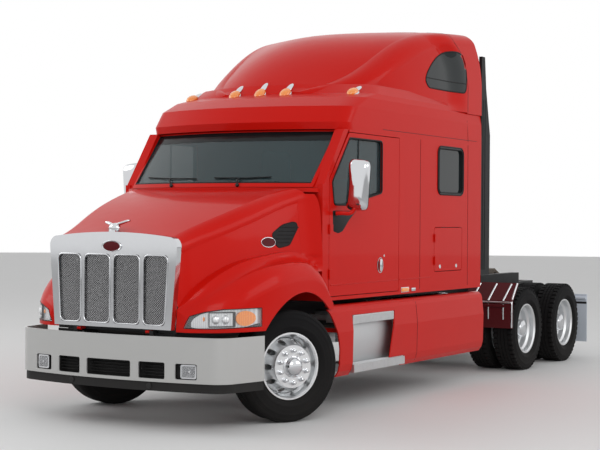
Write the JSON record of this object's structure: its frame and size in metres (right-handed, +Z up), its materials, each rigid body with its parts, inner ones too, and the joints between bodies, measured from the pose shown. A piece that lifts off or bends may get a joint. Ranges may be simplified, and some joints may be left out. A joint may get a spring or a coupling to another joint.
{
  "type": "semi truck tractor unit",
  "caption": "Conventional highway tractor with sleeper cab, steered front axle, tandem drive axles and fifth wheel for pulling a semi-trailer.",
  "frame": {"origin": "on the ground under the centre of the overall length and width", "axes": "+X to the vehicle's left, +Y rearwards, +Z up"},
  "size_m": [2.88, 8.82, 3.9526],
  "materials": {
    "paint": "gloss red",
    "frame_black": "satin black",
    "bumper_silver": "brushed and clear coated",
    "bright_metal": "polished",
    "wheel_alloy": "polished",
    "mesh": "wire mesh",
    "black_plastic": "textured black",
    "tyre": "tyre rubber",
    "glass": "tinted",
    "lamp_clear": "clear lens",
    "lamp_amber": "amber lens",
    "flap_white": "white rubber",
    "iron": "painted casting",
    "step_alloy": "ribbed",
    "tank_alloy": "bare",
    "trim_grey": "moulded",
    "cloth": "woven"
  },
  "bodies": {
    "chassis": {"cab_sides": "paint", "cab_back": "paint", "roof_cap": "paint", "cab_cowl": "paint", "side_fairings": "paint", "quarter_fenders": "paint", "chassis_frame": "frame_black", "front_axle": "iron", "front_springs": "iron", "rear_axles": "iron", "rear_suspension": "iron", "engine_block": "iron", "radiator": "trim_grey", "front_bumper": "bumper_silver", "bumper_valance": "black_plastic", "fog_lamps": "lamp_clear", "fuel_tanks": "tank_alloy", "exhaust": "tank_alloy", "step_treads": "step_alloy", "deck_box": "black_plastic", "mud_flaps": "flap_white", "fifth_wheel_base": "iron", "cab_floor": "trim_grey", "windscreen": "glass", "sleeper_windows": "glass", "side_extenders": "black_plastic", "roof_windows": "glass", "marker_lamps": "lamp_amber", "seats": "cloth", "dashboard": "trim_grey", "bunk": "cloth"},
    "hood": {"hood_shell": "paint", "grille_surround": "bright_metal", "grille_mesh": "mesh", "headlamps": "lamp_clear"},
    "fifth_wheel": {"fifth_wheel_plate": "iron"},
    "tie_rod": {"tie_rod": "iron"},
    "door_left": {"door_left": "paint", "door_glass_left": "glass", "mirror_left": "bright_metal"},
    "hatch_left": {"hatch_left": "paint"},
    "knuckle_left": {"knuckle_left": "iron"},
    "steer_wheel_left": {"tyre_front_left": "tyre", "wheel_front_left": "wheel_alloy"},
    "drive_wheels_mid_left": {"tyres_mid_left": "tyre", "wheels_mid_left": "wheel_alloy"},
    "drive_wheels_rear_left": {"tyres_rear_left": "tyre", "wheels_rear_left": "wheel_alloy"},
    "door_right": {"door_right": "paint", "door_glass_right": "glass", "mirror_right": "bright_metal"},
    "hatch_right": {"hatch_right": "paint"},
    "knuckle_right": {"knuckle_right": "iron"},
    "steer_wheel_right": {"tyre_front_right": "tyre", "wheel_front_right": "wheel_alloy"},
    "drive_wheels_mid_right": {"tyres_mid_right": "tyre", "wheels_mid_right": "wheel_alloy"},
    "drive_wheels_rear_right": {"tyres_rear_right": "tyre", "wheels_rear_right": "wheel_alloy"}
  },
  "joints": [
    {"name": "hood_tilt", "type": "hinge", "parent": "chassis", "child": "hood", "pos_m": [0, -4.335, 0.845], "axis": [1, 0, 0], "range_deg": [0, 70]},
    {"name": "door_left_swing", "type": "hinge", "parent": "chassis", "child": "door_left", "pos_m": [1.148, -2.5835, 1.8], "axis": [0, 0, -1], "range_deg": [0, 68]},
    {"name": "hatch_left_swing", "type": "hinge", "parent": "chassis", "child": "hatch_left", "pos_m": [1.148, -0.3065, 1.5], "axis": [0, 0, -1], "range_deg": [0, 90]},
    {"name": "steer_left", "type": "hinge", "parent": "chassis", "child": "knuckle_left", "pos_m": [0.87, -3.11, 0.502], "axis": [0, 0, 1], "range_deg": [-14.3, 65.7]},
    {"name": "spin_front_left", "type": "hinge", "parent": "knuckle_left", "child": "steer_wheel_left", "pos_m": [1.02318, -3.18372, 0.502], "axis": [0.9011, -0.4337, 0], "continuous": true},
    {"name": "spin_mid_left", "type": "hinge", "parent": "chassis", "child": "drive_wheels_mid_left", "pos_m": [0.9085, 2.23, 0.502], "axis": [1, 0, 0], "continuous": true},
    {"name": "spin_rear_left", "type": "hinge", "parent": "chassis", "child": "drive_wheels_rear_left", "pos_m": [0.9085, 3.55, 0.502], "axis": [1, 0, 0], "continuous": true},
    {"name": "door_right_swing", "type": "hinge", "parent": "chassis", "child": "door_right", "pos_m": [-1.148, -2.5835, 1.8], "axis": [0, 0, 1], "range_deg": [0, 68]},
    {"name": "hatch_right_swing", "type": "hinge", "parent": "chassis", "child": "hatch_right", "pos_m": [-1.148, -0.3065, 1.5], "axis": [0, 0, 1], "range_deg": [0, 90]},
    {"name": "steer_right", "type": "hinge", "parent": "chassis", "child": "knuckle_right", "pos_m": [-0.87, -3.11, 0.502], "axis": [0, 0, 1], "range_deg": [-14.3, 65.7]},
    {"name": "spin_front_right", "type": "hinge", "parent": "knuckle_right", "child": "steer_wheel_right", "pos_m": [-1.02318, -3.03628, 0.502], "axis": [0.9011, -0.4337, 0], "continuous": true},
    {"name": "spin_mid_right", "type": "hinge", "parent": "chassis", "child": "drive_wheels_mid_right", "pos_m": [-0.9085, 2.23, 0.502], "axis": [1, 0, 0], "continuous": true},
    {"name": "spin_rear_right", "type": "hinge", "parent": "chassis", "child": "drive_wheels_rear_right", "pos_m": [-0.9085, 3.55, 0.502], "axis": [1, 0, 0], "continuous": true},
    {"name": "tie_rod_swing", "type": "hinge", "parent": "knuckle_left", "child": "tie_rod", "pos_m": [0.9524, -2.9388, 0.4], "axis": [0, 0, 1], "range_deg": [-65.7, 14.3]},
    {"name": "fifth_wheel_rock", "type": "hinge", "parent": "chassis", "child": "fifth_wheel", "pos_m": [0, 2.89, 1.09], "axis": [1, 0, 0], "range_deg": [-12, 12]}
  ],
  "couplings": [
    {"joint": "steer_right", "follows": "steer_left", "ratio": 1},
    {"joint": "tie_rod_swing", "follows": "steer_left", "ratio": -1}
  ]
}
